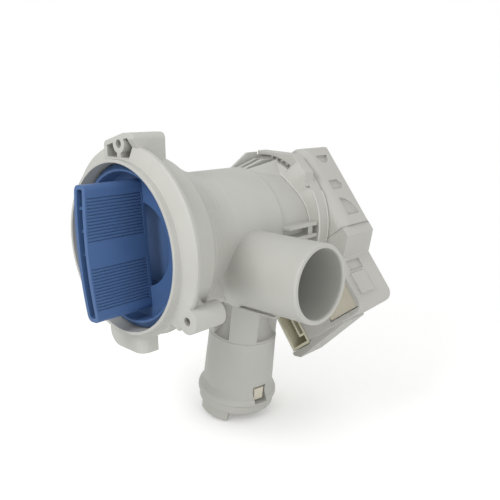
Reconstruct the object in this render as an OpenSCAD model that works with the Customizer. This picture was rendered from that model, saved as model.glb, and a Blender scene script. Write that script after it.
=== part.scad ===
// Washer drain pump with a screw-in lint filter, in millimetres.
// The pump axis runs along +Y from the front collar (y = 0) to the motor, and +Z is up.

/* [Filter barrel] */
// Outside diameter of the filter barrel
body_d = 55.4; // [53:0.2:58]
// Wall of the barrel and of the chamber behind it
wall = 2.5; // [2:0.1:3]
// Bore of the front collar that takes the filter cap
collar_bore_d = 69.6; // [68.4:0.2:71]
// Wall of the front collar
collar_wall = 1.2; // [1:0.1:1.6]
// Length of the straight front lip of the collar
collar_lip = 3; // [2.4:0.2:3.6]
// Diameter of the mounting ridge behind the collar
ridge_d = 84; // [82:0.5:86]
// Distance from the front lip to the ridge
ridge_y = 6.2; // [5.6:0.2:6.8]
// Length of the thick front part of the barrel
front_len = 71; // [69:0.5:74]
// Length of the pump chamber behind it
chamber_len = 20; // [19:0.5:23]

/* [Lugs and screw bosses] */
// Width of the top and bottom lugs
lug_w = 20; // [18:0.5:22]
// Height of the screw boss in the top lug above the pump axis
lug_hole_z = 41.9; // [41:0.1:43]
// Length of the lugs along the pump axis
lug_len = 15.5; // [12:0.5:18]
// Diameter of the screw holes
screw_hole_d = 3.5; // [3:0.1:4]
// Outside diameter of the side screw boss
boss_d = 10.4; // [9:0.2:11.5]
// Length of the side screw boss
boss_len = 15.6; // [13:0.2:18]
// Distance of the side screw boss from the pump axis
boss_pcr = 43.1; // [42.5:0.1:44]
// Angle of the side screw boss below the horizontal
boss_angle = 33.5; // [30:0.5:37]

/* [Side stub] */
// Outside diameter of the side stub
stub_d = 33.8; // [31:0.2:35]
// Bore of the side stub
stub_bore_d = 29.4; // [26:0.2:30]
// Distance of the stub's mouth from the pump axis
stub_reach = 63.7; // [58:0.5:70]
// Station of the stub along the pump axis
stub_y = 52.5; // [51:0.5:54]
// Drop of the stub's axis below the pump axis
stub_drop = 14; // [12:0.5:15]

/* [Lower spigot] */
// Outside diameter of the spigot
spigot_d = 36.2; // [34:0.2:37]
// Bore of the spigot
spigot_bore_d = 30; // [28.5:0.2:31]
// Bore of the port from the chamber into the spigot
port_d = 18; // [16:0.5:19]
// Length of the spigot from the pump axis to its end
spigot_len = 95.2; // [92:0.5:100]
// Lean of the spigot from the vertical
spigot_lean = 8.2; // [4:0.1:10]
// Station of the spigot along the pump axis
spigot_y = 75; // [74:0.2:76]
// Sideways shift of the spigot from the pump axis
spigot_x = 5; // [4:0.2:6]

/* [Filter] */
// Height of the filter's grip
grip_h = 54.6; // [48:0.2:56]
// Thickness of the filter's grip
grip_t = 7.4; // [6.4:0.1:9]
// Reach of the grip in front of the collar
grip_reach = 16; // [12:0.5:20]
// Turn of the grip from the vertical with the filter tight
grip_turn = 4; // [0:0.5:8]
// Depth of the finger well in the cap
well_depth = 8; // [7:0.5:9]
// Length of the strainer behind the cap
strainer_len = 46; // [40:0.5:48]
// Diameter of the round recess in the floor of the well
recess_d = 36; // [32:0.5:37]

/* [Motor] */
// Turn of the motor about the pump axis
motor_turn = 37; // [30:0.5:42]
// Diameter of the bayonet flange
flange_d = 66; // [65:0.5:67]
// Width of the upper motor cover
cover_w = 68; // [67.6:0.2:72]
// Depth of the motor cover along the pump axis
cover_depth = 27.2; // [26.4:0.2:30]
// Height of the motor cover above the pump axis
cover_top = 21; // [20.6:0.2:24]
// Depth of the motor below the pump axis
motor_drop = 63.6; // [63.4:0.2:68]
// Thickness of the lamination stack
stack_t = 12; // [10:0.5:12.5]
// Diameter of the rotor magnet
magnet_d = 24.8; // [22:0.2:25]
// Diameter of the rotor shaft
shaft_d = 4; // [3:0.1:5]

/* [Check ball] */
// Diameter of the check ball
ball_d = 20; // [19:0.5:22]
// Travel of the check ball from its cage to its seat
ball_travel = 9.5; // [6:0.5:10]

/* [Clearances] */
// Gap between parts that turn or slide past each other
run_gap = 0.3; // [0.2:0.05:0.4]
// Gap between parts that are seated in each other
seat_gap = 0.1; // [0.05:0.01:0.15]
// Radial play of a shaft in its bush
shaft_play = 0.05; // [0.02:0.01:0.08]

/* [Hidden] */
seg = 96;
eps = 1;

body_r = body_d / 2;
chamber_r = body_r - wall;
collar_bore_r = collar_bore_d / 2;
collar_r = collar_bore_r + collar_wall;
ridge_r = ridge_d / 2;
ridge_t = 1.2;
ridge_back = ridge_y + ridge_t;
flare_r = ridge_r - 1;
ridge_gap_r = collar_r + 2.2;
shoulder_r0 = ridge_r - 2.6;
shoulder_r1 = body_r + 8.9;
shoulder_y1 = 19.5;
shoulder_y2 = 41;
shoulder = [[7.2, 2.5], [4.6, 7], [2.4, 11.5], [1, 15.5], [0.3, 19]];
barrel_relief = 0.6;
barrel_len = front_len + chamber_len;

cap_recess = 4;
cap_floor_t = 2.5;
cap_r = collar_bore_r - run_gap * 1.5;
cap_back_r = collar_bore_r - 1.2;
cap_wall = 3.4;
cap_slope = 2.2;
well_r = cap_r - cap_wall;
well_y = cap_recess + well_depth;
recess_r = recess_d / 2;
recess_y = well_y + 8;
cap_back = well_y + cap_floor_t;
cap_seat = cap_back + run_gap;
seat_r = collar_bore_r - 4.4;
seal_wire_r = 1.1;
seal_y = cap_recess + well_depth / 2 + 1;
seal_groove_r = collar_bore_r - run_gap - 2 * seal_wire_r - run_gap;
cap_lug_r = collar_bore_r - run_gap;
strainer_r = chamber_r - 2.2;
strainer_wall = 1.8;
strainer_root_r = strainer_r - strainer_wall - seat_gap;

lug_y = collar_lip;
lug_top = lug_hole_z + 4.4;
lug_back = lug_y + lug_len;
lug_wall = 2;
lug_wall_right = 3.8;
screw_ring_r = screw_hole_d / 2 + 2;
boss_y = collar_lip + 2;

stub_r = stub_d / 2;
stub_z = -stub_drop;
stub_draft = 0.25;
hose_seat = stub_reach - 17.5;
ledge_end = hose_seat - 1.2;
ledge_t = 1.4;
spigot_r = spigot_d / 2;
spigot_bore_r = spigot_bore_d / 2;
port_r = port_d / 2;
neck_end = spigot_len - 38.7;
spigot_top_r = spigot_r - 0.8;
neck_r = spigot_top_r - 0.3;
bulge_r = spigot_r + 2.5;
bulge_top = spigot_len - 11;
bulge_full = bulge_top + 4.8;
end_ring_r = bulge_r - 1;
tab_len = 5;

ball_r = ball_d / 2;
cage_t = 2;
cage_top = neck_end + sqrt(ball_r * ball_r - port_r * port_r) + ball_travel + ball_r + 2 * run_gap;
cage_end = spigot_len - 1.5;
cage_r = spigot_bore_r - seat_gap;
ball_s = cage_top - run_gap - ball_r;
window_w = 7.6;
window_h = 8.6;
window_s = spigot_len - 14.6;
window_angle = -8;

flange_r = flange_d / 2;
flange_y = barrel_len;
flange_t = 3;
flange_back = flange_y + flange_t;
flange_rim_t = 3;
flange_len = 7;
hood_r = flange_r + 1.8;
hood_y = flange_y - 2;
hood_side = flange_r - 7.2;
hood_corner = flange_r - 7.6;
hood_top = flange_r + 0.4;
ramp_end = hood_y - run_gap;
ramp_y = front_len - 1.5;
plug_r = chamber_r - seat_gap;
plug_len = 4.2;
plug_wall = 2.6;
oring_wire_r = 1.1;
oring_y = flange_y - plug_len / 2;
oring_r = plug_r - oring_wire_r;
groove_r = plug_r - 2 * oring_wire_r - seat_gap;

cover_y = flange_y + 2;
cover_back = cover_y + cover_depth;
cover_wall = 2;
cover_front = flange_y + flange_len + run_gap;
cover_face = cover_front + 0.2;
cover_dip = 5;
cover_round = 5.5;
cover_half = cover_w / 2;
cover_low = -25;
coil_half = 24.3;
coil_left = 20;
bulge_left = -14.4;
coil_cover_r = 5;
coil_window_y = cover_y + 6;
coil_window_l = 11;
coil_window_h = 5.2;
coil_window_t = 1.2;
coil_window_low = -motor_drop + 19;

shaft_r = shaft_d / 2;
magnet_r = magnet_d / 2;
can_bore_r = magnet_r + 0.6;
can_wall = 1.2;
can_r = can_bore_r + can_wall;
can_hole_r = can_r + 4 + run_gap;
core_bore_r = can_r + 4 * seat_gap;
hub_r = shaft_r + 6;
bush_r = shaft_r + 3;
bush_len = 4;
hub_len = bush_len + 0.6;
washer_y = flange_back + hub_len + run_gap;
washer_t = 1;
magnet_y = washer_y + washer_t + seat_gap;
can_back = cover_back - cover_wall;
rear_bush_y = can_back - 1.4 - bush_len;
magnet_end = rear_bush_y - 2 * run_gap;
shaft_end = rear_bush_y + bush_len - run_gap;
core_y = cover_front + cover_wall + run_gap;
core_end = core_y + stack_t;
core_room = 3;
core_half = cover_half - cover_wall - core_room;
core_top = cover_top - cover_wall - 1;
leg_in = 12.5;
leg_out = coil_half - cover_wall - run_gap;
leg_left = coil_left - cover_wall - run_gap;
leg_low = -45;
yoke_h = 11;
yoke_low = leg_low - yoke_h;
core_hip = -22;
post_x = core_half - 4;
post_z = 11;
post_r = 3.6;
core_screw_r = 1.9;

bobbin_wall = 1.2;
fuse_l = 12;
fuse_w = 5;
fuse_h = 3.2;
bobbin_gap = 0.2;
spool = bobbin_gap + bobbin_wall;
winding_t = 3.2;
flange_h = spool + winding_t + 0.4;
bobbin_half = leg_in - run_gap;
apron_x = 3.5;
apron_end = leg_out;
apron_low = yoke_low - flange_h;
apron_high = leg_low - 1;

socket_x0 = -coil_left - run_gap - 14;
socket_x1 = -coil_left - run_gap;
socket_low = -motor_drop - 1.2;
socket_high = socket_low + 23;
socket_y = cover_front + 0.6;
socket_back = cover_back - 1;
socket_wall = 1.6;
socket_floor = 3;
key_gap = 6;
key_drop = 3.6;
key_wall = 1.2;
key_x = socket_x0 + socket_wall + key_gap;
key_low = socket_low + socket_wall + key_drop;
key_high = socket_high - socket_wall;
tab_t = 0.8;
tab_w = 4.8;
tab_x = (key_x + key_wall + socket_x1 - socket_wall) / 2;

impeller_y = front_len + 2.2;
impeller_w = 14.6;
impeller_r = chamber_r - 5;
impeller_hub_r = 10;
impeller_front_t = 4;
impeller_back = impeller_y + impeller_w;
dog_sleeve_r = shaft_r + 2.4;
dog_r = impeller_hub_r - 1.8;
dog_pocket_r = dog_r + run_gap;
dog_y = impeller_y + impeller_front_t + run_gap;
dog_end = impeller_back - 0.8;
clip_t = 1;
shaft_start = impeller_y - run_gap - clip_t - 0.4;

body_grey = [0.76, 0.76, 0.73];
motor_grey = [0.80, 0.80, 0.77];
filter_blue = [0.25, 0.40, 0.62];
coil_beige = [0.78, 0.74, 0.60];

// Points of an arc about (x, y), from angle a0 to a1.
function arc(x, y, r, a0, a1, n = 6) =
    [for (i = [0 : n]) [x + r * cos(a0 + (a1 - a0) * i / n), y + r * sin(a0 + (a1 - a0) * i / n)]];

// Points of a rectangle with rounded corners.
function round_rect(x0, y0, x1, y1, r) = concat(
    arc(x1 - r, y1 - r, r, 0, 90), arc(x0 + r, y1 - r, r, 90, 180),
    arc(x0 + r, y0 + r, r, 180, 270), arc(x1 - r, y0 + r, r, 270, 360));

// A profile of (radius, station) points turned about the pump axis.
module turned(profile) {
    rotate([-90, 0, 0])
        rotate_extrude($fn = seg)
            polygon(profile);
}

// A disc or tube on the pump axis between two stations.
module disc(r, y0, y1) {
    translate([0, y0, 0])
        rotate([-90, 0, 0])
            cylinder(r = r, h = y1 - y0, $fn = seg);
}

module tube(r_out, r_in, y0, y1) {
    difference() {
        disc(r_out, y0, y1);
        disc(r_in, y0 - eps, y1 + eps);
    }
}

// A flat outline in the X-Z plane, made solid between two stations.
module slab(points, y0, y1) {
    translate([0, y1, 0])
        rotate([90, 0, 0])
            linear_extrude(y1 - y0)
                polygon(points);
}

module block(x0, x1, y0, y1, z0, z1) {
    translate([x0, y0, z0])
        cube([x1 - x0, y1 - y0, z1 - z0]);
}

// Outline of a ring sector about the pump axis, from angle a0 to a1 above +X.
function sector(r_in, r_out, a0, a1, n = 12) =
    concat(arc(0, 0, r_out, a0, a1, n), arc(0, 0, r_in, a1, a0, n));

// A ring on the pump axis between two stations, from angle a0 to a1 above +X.
module part_ring(r_in, r_out, y0, y1, a0, a1) {
    rotate([-90, 0, 0])
        rotate([0, 0, -a1])
            rotate_extrude(angle = a1 - a0, $fn = seg)
                translate([r_in, y0])
                    square([r_out - r_in, y1 - y0]);
}

module motor_frame() {
    rotate([0, -motor_turn, 0])
        children();
}

// Frame of the spigot: z runs down along it from the pump axis, y along the pump axis.
module spigot_frame() {
    translate([0, spigot_y, 0])
        rotate([0, spigot_lean, 0])
            translate([spigot_x, 0, 0])
                mirror([0, 0, 1])
                    children();
}

module spigot_tube(r, s0, s1) {
    translate([0, 0, s0])
        cylinder(r = r, h = s1 - s0, $fn = seg);
}

// Housing: collar, ridge, barrel and chamber in one moulding, with the stub, spigot and lugs.
module housing() {
    color(body_grey)
    difference() {
        union() {
            barrel_outside();
            stub_outside();
            spigot_outside();
            top_lug();
            bottom_lug();
            side_boss();
            lock_ribs();
        }
        barrel_inside();
        stub_inside();
        spigot_inside();
        lug_pockets();
        screw_holes();
    }
}

// The ridge is left out between the side boss and the bottom lug.
module barrel_outside() {
    difference() {
        barrel_turned();
        part_ring(ridge_gap_r, ridge_r + eps, collar_lip - 0.5, ridge_back + 3.6, -100, -44);
    }
}

module barrel_turned() {
    turned(concat(
        [[0, 0], [collar_r, 0], [collar_r, collar_lip]],
        arc(flare_r, ridge_y, ridge_r - flare_r, -60, 0, 4),
        [[ridge_r, ridge_back], [shoulder_r0, ridge_back]],
        [[shoulder_r1, shoulder_y1]],
        [for (p = shoulder) [body_r + p[0], shoulder_y1 + p[1]]],
        [[body_r, shoulder_y2]],
        [[body_r, front_len], [body_r - barrel_relief, front_len]],
        [[body_r - barrel_relief, barrel_len], [0, barrel_len]]));
}

module barrel_inside() {
    turned([
        [0, -eps], [collar_bore_r, -eps], [collar_bore_r, cap_seat], [seat_r, cap_seat],
        [seat_r, cap_seat + 3], [chamber_r, shoulder_y2 - 3], [chamber_r, barrel_len + eps],
        [0, barrel_len + eps]]);
}

module along_stub() {
    translate([0, stub_y, stub_z])
        rotate([0, 90, 0])
            children();
}

module stub_outside() {
    lip = 0.9;
    root = 5;
    foot = sqrt(body_r * body_r - stub_drop * stub_drop) - 1.5;
    along_stub()
        rotate_extrude($fn = seg)
            polygon(concat(
                [[0, 0], [stub_r + stub_draft, 0]],
                arc(stub_r + stub_draft + root, foot + root, root, 225, 180, 6),
                [[stub_r, hose_seat]],
                arc(stub_r - lip, stub_reach - lip, lip, 0, 90, 4),
                [[0, stub_reach]]));
    block(-5, ledge_end, stub_y - 6.5, stub_y + 10, stub_z - stub_r - 0.4, stub_z - stub_r + ledge_t);
    block(-5, stub_r + 8, stub_y - 5.8, stub_y + 9, stub_z - stub_r + 0.4, stub_z);
}

module stub_inside() {
    lip = 0.8;
    along_stub()
        rotate_extrude($fn = seg)
            polygon(concat(
                [[0, 6], [stub_bore_d / 2, 6]],
                [[stub_bore_d / 2, stub_reach - lip], [stub_bore_d / 2 + lip, stub_reach + eps]],
                [[0, stub_reach + eps]]));
}

module spigot_outside() {
    flare = 3.5;
    spigot_clear = flange_y - run_gap - spigot_y;
    spigot_frame()
        difference() {
            rotate_extrude($fn = seg)
                polygon(concat(
                    [[0, 8], [neck_r, 8], [neck_r, neck_end - 1], [spigot_top_r, neck_end + 1]],
                    [[spigot_r, bulge_top - 4], [spigot_r, bulge_top]],
                    arc(bulge_r - flare, bulge_full, flare, -50, 0, 4),
                    [[bulge_r, bulge_full + 0.8], [end_ring_r, bulge_full + 2]],
                    arc(end_ring_r - 0.9, spigot_len - 0.9, 0.9, 0, 90, 4),
                    [[0, spigot_len]]));
            translate([-spigot_r - eps, spigot_clear, 0])
                cube([2 * spigot_r + 2 * eps, spigot_r, neck_end - 12]);
            neck_pocket(-22, 34);
            neck_pocket(-106, -70);
        }
    spigot_frame()
        spigot_tab();
}

// Recess in the neck between two angles about the spigot's axis.
module neck_pocket(a0, a1) {
    translate([0, 0, 34])
        linear_extrude(neck_end - 35)
            polygon(sector(port_r + 3.2, spigot_r + eps, a0, a1));
}

module spigot_tab() {
    translate([0, 0, spigot_len - 4])
        linear_extrude(4 + tab_len)
            polygon(sector(spigot_bore_r + 0.4, spigot_r + 0.5, -117, -58));
}

module spigot_inside() {
    spigot_frame() {
        spigot_tube(port_r, 10, neck_end + eps);
        spigot_tube(spigot_bore_r, neck_end, spigot_len + tab_len + eps);
        for (side = [0, 180])
            rotate([0, 0, window_angle + side])
                translate([spigot_bore_r - eps, -window_w / 2, window_s])
                    cube([bulge_r, window_w, window_h]);
    }
}

// Height of the top lug's roof, which falls towards the left.
function lug_roof(x) = lug_top - max(0, lug_w * 0.175 - x) * 0.272;

// The front of the right wall leans back, so the ridge's end shows before its foot.
module top_lug() {
    corner = 2.5;
    edge = 1;
    left = -lug_w / 2;
    difference() {
        slab(concat(
            arc(lug_w / 2 - corner, lug_top - corner, corner, 0, 90),
            [[lug_w * 0.175, lug_top], [left + edge, lug_roof(left + edge)], [left, lug_roof(left) - edge]],
            [[left, collar_r - 4], [lug_w / 2, collar_r - 4]]),
            lug_y, lug_back);
        translate([lug_w / 2 - lug_wall_right - 0.4, 0, 0])
            rotate([90, 0, 90])
                linear_extrude(lug_wall_right + 1)
                    polygon([
                        [lug_y - eps, collar_r - 5], [lug_y + 2.5, collar_r - 5],
                        [lug_y + 2.5, collar_r + 4], [lug_y - eps, lug_top - 0.6]]);
    }
}

// The bottom lug has a round front corner on its right and a round lower corner on its left.
module bottom_lug() {
    low = -collar_r - 8.8;
    corner = 6.5;
    round_r = 4.5;
    left = -lug_w / 2 - 3.6;
    right = lug_w / 2 - 1.2;
    back = lug_y + lug_len * 0.55;
    intersection() {
        slab(concat(
            [[right + eps, -collar_r + 6], [left, -collar_r + 8]],
            arc(left + corner, low + corner, corner, 180, 270),
            [[right + eps, low]]),
            lug_y - eps, back + eps);
        translate([0, 0, low - eps])
            linear_extrude(collar_r)
                polygon(concat(
                    arc(right - round_r, lug_y + round_r, round_r, -90, 0),
                    [[right, back], [left - eps, back], [left - eps, lug_y]]));
    }
}

module side_boss_place() {
    translate([boss_pcr * cos(boss_angle), boss_y, -boss_pcr * sin(boss_angle)])
        rotate([-90, 0, 0])
            children();
}

module side_boss() {
    reach = boss_pcr - ridge_r + boss_d / 2;
    ear = boss_d / 2 - 0.7;
    web_t = 1.8;
    rotate([0, boss_angle + 18, 0])
        translate([0, 0, -web_t / 2])
            linear_extrude(web_t)
                polygon([
                    [chamber_r + 1, ridge_back - 0.5], [shoulder_r0 - 1.5, ridge_back - 0.5],
                    [body_r + 5.5, stub_y - 6], [chamber_r + 1, stub_y - 6]]);
    side_boss_place()
        cylinder(d = boss_d, h = boss_len, $fn = seg);
    rotate([0, boss_angle, 0])
        block(ridge_r - 6, ridge_r - 1 + reach / 3, boss_y + 0.6, ridge_back + 6, -ear, ear);
}

// Ribs at the back of the barrel that the bayonet flange turns against.
module lock_ribs() {
    rib_t = 1.6;
    stop_y = barrel_len - 6;
    rib_end = barrel_len - 0.2;
    for (a = [3, -7])
        rotate([0, -a, 0])
            block(body_r - 2, flange_r - 1, front_len - 0.5, rib_end, -rib_t / 2, rib_t / 2);
    rotate([0, 2, 0])
        block(body_r - 2, flange_r - 2, stop_y, stop_y + 3.4, -2.4, 2.4);
    ramp_rib(83, flange_r - 2);
    ramp_rib(91, flange_r - 2);
    ramp_rib(100, hood_r - 0.6);
    gusset();
}

// Rib that climbs from the barrel to a height in front of the hood, at an angle above +X.
module ramp_rib(a, top_r) {
    rib_t = 1.6;
    rise = 12.5;
    rotate([0, -a, 0])
        translate([0, 0, -rib_t / 2])
            linear_extrude(rib_t)
                polygon([
                    [body_r - 2, ramp_y], [body_r - 0.3, ramp_y],
                    [top_r, ramp_y + rise], [top_r, ramp_end], [body_r - 2, ramp_end]]);
}

// Solid ramp beside the ribs, whose flat top runs out on the barrel.
module gusset() {
    top_r = flange_r - 1.8;
    at = 75.5;
    lean = acos((body_r - barrel_relief) / top_r) / 2;
    climb = 12;
    rotate([0, lean - at, 0])
        intersection() {
            block(body_r - 2, flange_r, ramp_y, ramp_end, -top_r * sin(lean), top_r * sin(lean));
            translate([top_r * cos(lean), ramp_y + 16.5, top_r * sin(lean)])
                rotate([0, lean + 2, -climb])
                    translate([-30, -50, -50])
                        cube([30, 100, 100]);
        }
}

module lug_pockets() {
    pocket = lug_len - 5;
    for (side = [-1, 1]) {
        inner = lug_w / 2 - (side > 0 ? lug_wall_right : lug_wall);
        difference() {
            slab([
                [side * inner, collar_r + 0.6], [side * inner, lug_roof(side * inner) - lug_wall],
                [side * 1.2, lug_roof(side * 1.2) - lug_wall], [side * 1.2, collar_r + 0.6]],
                lug_y - eps, lug_y + pocket);
            translate([0, lug_y - 2 * eps, lug_hole_z])
                rotate([-90, 0, 0])
                    cylinder(r = screw_ring_r, h = lug_len, $fn = seg);
        }
    }
}

module screw_holes() {
    translate([0, lug_y - eps, lug_hole_z])
        rotate([-90, 0, 0])
            cylinder(d = screw_hole_d, h = lug_len - 2, $fn = seg);
    side_boss_place()
        translate([0, 0, -eps])
            cylinder(d = screw_hole_d, h = boss_len - 3 + eps, $fn = seg);
}

// Filter cap: round cup with a hollow upright grip, which screws into the collar.
module filter_cap() {
    color(filter_blue)
    rotate([0, -grip_turn, 0]) {
        cap_cup();
        grip();
    }
}

module cap_cup() {
    rim = 0.3;
    lip = 0.9;
    groove = 2 * (seal_wire_r + run_gap);
    step_y = seal_y + groove / 2 + 0.5;
    difference() {
        union() {
            turned(concat(
                [[0, recess_y], [recess_r, recess_y], [recess_r, well_y], [well_r, well_y]],
                [[well_r, cap_recess + rim], [well_r + rim, cap_recess]],
                [[well_r + lip, cap_recess], [cap_r, cap_recess + cap_slope], [cap_r, step_y]],
                [[cap_back_r, step_y], [cap_back_r, cap_back]],
                [[strainer_root_r, cap_back], [strainer_root_r, recess_y + cap_floor_t]],
                [[0, recess_y + cap_floor_t]]));
            for (a = [35, 215])
                slab(sector(cap_back_r - 1, cap_lug_r, a, a + 40), cap_back - 3.4, cap_back - 0.4);
        }
        tube(cap_r + 2, seal_groove_r, seal_y - groove / 2, seal_y + groove / 2);
    }
}

// The grip is a flat box that opens forwards, with webs across its slot and grooved sides.
module grip() {
    half = grip_h / 2;
    shell = 1.7;
    crown = 1.6;
    slot_depth = grip_reach + 4;
    bow_r = (half * half + crown * crown) / (2 * crown);
    front = -grip_reach;
    difference() {
        intersection() {
            slab(round_rect(-grip_t / 2, -half, grip_t / 2, half, 2.4), front, well_y + 0.5);
            translate([0, front + bow_r, 0])
                rotate([0, 90, 0])
                    cylinder(r = bow_r, h = grip_t + 2, center = true, $fn = seg);
        }
        difference() {
            slab(round_rect(-grip_t / 2 + shell, -half + shell, grip_t / 2 - shell, half - shell, 1),
                 front - eps, front + slot_depth);
            for (z = [0, half / 3, 2 * half / 3])
                block(-grip_t, grip_t, front + 2, well_y, z - 0.5, z + 0.5);
        }
        grip_grooves(half, crown);
    }
}

// Each groove starts just behind the bowed front edge and runs to the foot of the grip.
module grip_grooves(half, crown) {
    count = 14;
    pitch = 1.26;
    depth = 0.5;
    width = 0.66;
    margin = 0.9;
    for (side = [-1, 1], group = [-1, 1], i = [0 : count - 1]) {
        z = group * (half - 5.4 - i * pitch);
        start = -grip_reach + crown * z * z / (half * half) + margin;
        translate([side * grip_t / 2 - depth, start, z - width / 2])
            cube([2 * depth, well_y - margin - start, width]);
    }
}

// Strainer: slotted cage behind the cap that catches lint before the impeller.
module filter_strainer() {
    bars = 10;
    ring_w = 4;
    y0 = cap_back + seat_gap;
    color(filter_blue)
    rotate([0, -grip_turn, 0])
    difference() {
        tube(strainer_r, strainer_r - strainer_wall, y0, y0 + strainer_len);
        for (i = [0 : bars - 1])
            rotate([0, i * 360 / bars, 0])
                block(0, strainer_r + eps, y0 + 8, y0 + strainer_len - ring_w, -4.6, 4.6);
    }
}

module filter_seal() {
    color([0.12, 0.12, 0.13])
    translate([0, seal_y, 0])
        rotate([-90, 0, 0])
            rotate_extrude($fn = seg)
                translate([collar_bore_r - run_gap - seal_wire_r, 0])
                    circle(r = seal_wire_r, $fn = 32);
}

// Bayonet flange: closes the pump chamber and carries the rotor can and the motor.
module motor_flange() {
    color(motor_grey)
    difference() {
        union() {
            turned([
                [0, flange_y], [plug_r - plug_wall, flange_y],
                [plug_r - plug_wall, flange_y - plug_len], [plug_r, flange_y - plug_len],
                [plug_r, oring_y - oring_wire_r - seat_gap],
                [groove_r, oring_y - oring_wire_r - seat_gap],
                [groove_r, oring_y + oring_wire_r + seat_gap],
                [plug_r, oring_y + oring_wire_r + seat_gap], [plug_r, flange_y],
                [flange_r, flange_y], [flange_r, flange_y + flange_len],
                [flange_r - flange_rim_t, flange_y + flange_len],
                [flange_r - flange_rim_t, flange_back], [hub_r, flange_back],
                [hub_r, flange_back + hub_len], [0, flange_back + hub_len]]);
            bayonet_hood();
            core_posts();
        }
        disc(shaft_r + 1, flange_y - eps, flange_back + hub_len + eps);
        disc(bush_r + seat_gap, flange_back + 0.6, flange_back + hub_len + eps);
        for (side = [-1, 1])
            motor_frame()
                core_screw_place(side)
                    cylinder(r = core_screw_r + seat_gap, h = 20, $fn = seg);
    }
}

// Hood over the top of the bayonet, flat on top and at its side with a cut corner between,
// with a lip and teeth under it.
module bayonet_hood() {
    a0 = 35;
    a1 = 98;
    slot = 60;
    low = hood_side * tan(a0 + 1);
    difference() {
        slab([
            [0, 0], [hood_side, low], [hood_side, hood_corner], [flange_r - 15.4, hood_top],
            [hood_r * cos(a1), hood_r * sin(a1)]], hood_y, flange_back + 1);
        disc(flange_r - 0.5, hood_y - eps, flange_back + 1 + eps);
    }
    part_ring(body_r + run_gap, flange_r - 0.2, hood_y + 0.1, flange_y + 0.5, a0 + 0.6, slot);
    for (a = [63, 69, 75, 81])
        slab(sector(flange_r - 1.6, flange_r + 0.5, a, a + 2.6, 3), hood_y + 0.5, flange_y + 1);
}

module core_screw_place(side) {
    translate([side * post_x, core_y - run_gap - 8, post_z])
        rotate([-90, 0, 0])
            children();
}

module core_posts() {
    motor_frame()
        for (side = [-1, 1])
            translate([side * post_x, flange_back - 0.5, post_z])
                rotate([-90, 0, 0])
                    cylinder(r = post_r, h = core_y - flange_back + 0.5, $fn = seg);
}

module chamber_seal() {
    color([0.12, 0.12, 0.13])
    translate([0, oring_y, 0])
        rotate([-90, 0, 0])
            rotate_extrude($fn = seg)
                translate([oring_r, 0])
                    circle(r = oring_wire_r - seat_gap / 2, $fn = 32);
}

// Impeller: hub with radial blades, loose on the shaft between the stops of its dog.
module impeller() {
    blades = 6;
    blade_t = 2;
    color([0.85, 0.84, 0.80])
    difference() {
        union() {
            disc(impeller_hub_r, impeller_y, impeller_back);
            for (i = [0 : blades - 1])
                rotate([0, i * 360 / blades, 0])
                    block(impeller_hub_r - 1, impeller_r, impeller_y + 1.5, impeller_back - 1,
                          -blade_t / 2, blade_t / 2);
        }
        disc(shaft_r + shaft_play, impeller_y - eps, impeller_back + eps);
        difference() {
            disc(dog_pocket_r, impeller_y + impeller_front_t, impeller_back + eps);
            slab(sector(dog_sleeve_r + run_gap, dog_pocket_r + eps, 150, 210),
                 impeller_y, impeller_back);
        }
    }
}

// Drive dog: pressed on the shaft, it picks up the impeller after part of a turn.
module drive_dog() {
    color([0.85, 0.84, 0.80])
    difference() {
        union() {
            disc(dog_sleeve_r, dog_y, dog_end);
            slab(concat(arc(0, 0, dog_r, -25, 25, 10), [[0, 0]]), dog_y, dog_end);
        }
        disc(shaft_r + shaft_play, dog_y - eps, dog_end + eps);
    }
}

module shaft_clip() {
    color("silver")
        tube(shaft_r + 2.2, shaft_r + shaft_play, impeller_y - run_gap - clip_t, impeller_y - run_gap);
}

module rotor_shaft() {
    color("silver")
        disc(shaft_r, shaft_start, shaft_end);
}

module rotor_magnet() {
    color([0.22, 0.22, 0.23])
        tube(magnet_r, shaft_r + shaft_play, magnet_y, magnet_end);
}

module thrust_washer() {
    color([0.45, 0.36, 0.24])
        tube(bush_r + 0.6, shaft_r + shaft_play, washer_y, washer_y + washer_t);
}

module front_bush() {
    color([0.30, 0.30, 0.32])
        tube(bush_r, shaft_r + shaft_play, flange_back + 0.6, flange_back + 0.6 + bush_len);
}

module rear_bush() {
    color([0.30, 0.30, 0.32])
        tube(bush_r, shaft_r + shaft_play, rear_bush_y, rear_bush_y + bush_len);
}

// Rotor can: thin closed sleeve that keeps the water away from the stator.
module rotor_can() {
    rim_r = can_r + 4;
    color([0.85, 0.84, 0.80])
    difference() {
        union() {
            disc(can_r, flange_back, can_back);
            disc(rim_r, flange_back, flange_back + 1.6);
        }
        disc(can_bore_r, flange_back - eps, rear_bush_y - run_gap);
        disc(bush_r + seat_gap, flange_back, rear_bush_y + bush_len);
    }
}

// Lamination stack: the poles round the rotor, and the yoke that closes them through the coil.
module core_poles() {
    color([0.48, 0.49, 0.51])
    motor_frame()
    difference() {
        slab([
            [-core_half, core_top], [core_half, core_top], [core_half, core_hip],
            [leg_out, core_hip - 3], [leg_out, leg_low], [leg_in, leg_low], [leg_in, core_hip],
            [-leg_in, core_hip], [-leg_in, leg_low], [-leg_left, leg_low],
            [-leg_left, core_hip - 3], [-core_half, core_hip]], core_y, core_end);
        disc(core_bore_r, core_y - eps, core_end + eps);
        for (side = [-1, 1])
            core_screw_place(side)
                cylinder(r = core_screw_r + 2 * seat_gap, h = stack_t + 20, $fn = seg);
    }
}

module core_yoke() {
    color([0.48, 0.49, 0.51])
    motor_frame()
        block(-leg_left, leg_out, core_y, core_end, yoke_low, leg_low);
}

module round_the_yoke(out, x0, x1) {
    block(x0, x1, core_y - out, core_end + out, yoke_low - out, leg_low + out);
}

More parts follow.
